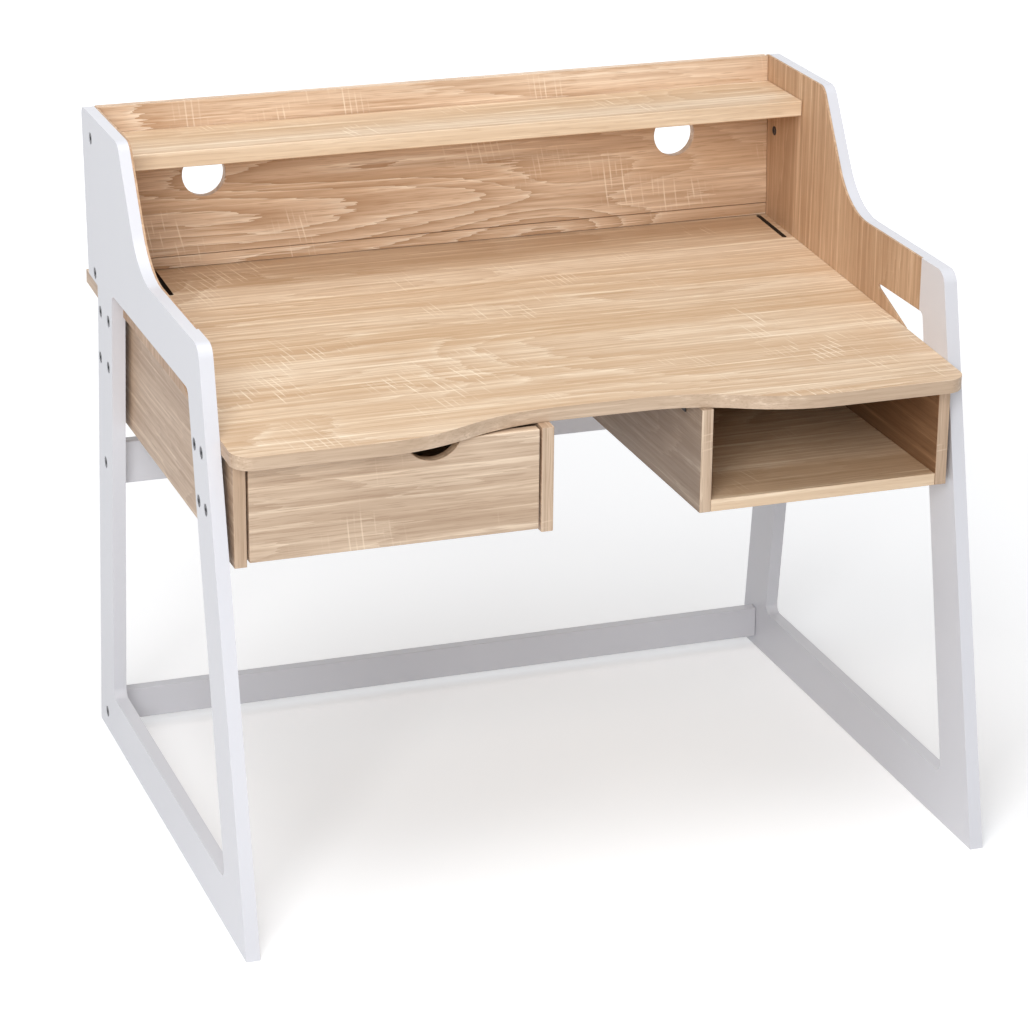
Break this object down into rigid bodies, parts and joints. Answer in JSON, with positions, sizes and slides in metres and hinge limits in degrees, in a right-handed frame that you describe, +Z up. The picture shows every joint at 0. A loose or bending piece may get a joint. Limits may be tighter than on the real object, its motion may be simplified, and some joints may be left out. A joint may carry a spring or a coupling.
{
  "type": "student desk with hutch",
  "caption": "Student desk with curved front edge, cut white side frames, low hutch with shelf and cable holes, one drawer and one open box under the top.",
  "frame": {"origin": "on the floor at the middle of the footprint", "axes": "+X to the user's right, +Y away from the user towards the hutch back, +Z up"},
  "size_m": [1, 0.769, 0.891],
  "materials": {
    "white_paint": "satin",
    "oak": "matt",
    "zinc_steel": "plated",
    "dark_steel": "dark",
    "grey_plastic": "matt"
  },
  "bodies": {
    "desk": {"side_frame_left": "white_paint", "side_frame_right": "white_paint", "rear_stretcher": "white_paint", "rear_rail": "white_paint", "hutch_liner_left": "oak", "hutch_liner_right": "oak", "desktop": "oak", "hutch_back": "oak", "hutch_batten": "oak", "hutch_shelf": "oak", "cabinet_side_outer": "oak", "cabinet_side_inner": "oak", "cabinet_back": "oak", "box_side_outer": "oak", "box_side_inner": "oak", "box_back": "oak", "box_floor": "oak", "runner_cabinet_left": "zinc_steel", "runner_cabinet_right": "zinc_steel", "cabinet_brackets": "zinc_steel", "frame_bolts_left": "dark_steel", "frame_bolts_right": "dark_steel", "foot_glides": "grey_plastic"},
    "drawer": {"drawer_front": "oak", "drawer_side_left": "oak", "drawer_side_right": "oak", "drawer_back": "oak", "drawer_floor": "oak", "runner_drawer_left": "zinc_steel", "runner_drawer_right": "zinc_steel"}
  },
  "joints": [
    {"name": "drawer_slide", "type": "slide", "parent": "desk", "child": "drawer", "axis": [0, -1, 0], "range_m": [0, 0.28]}
  ]
}
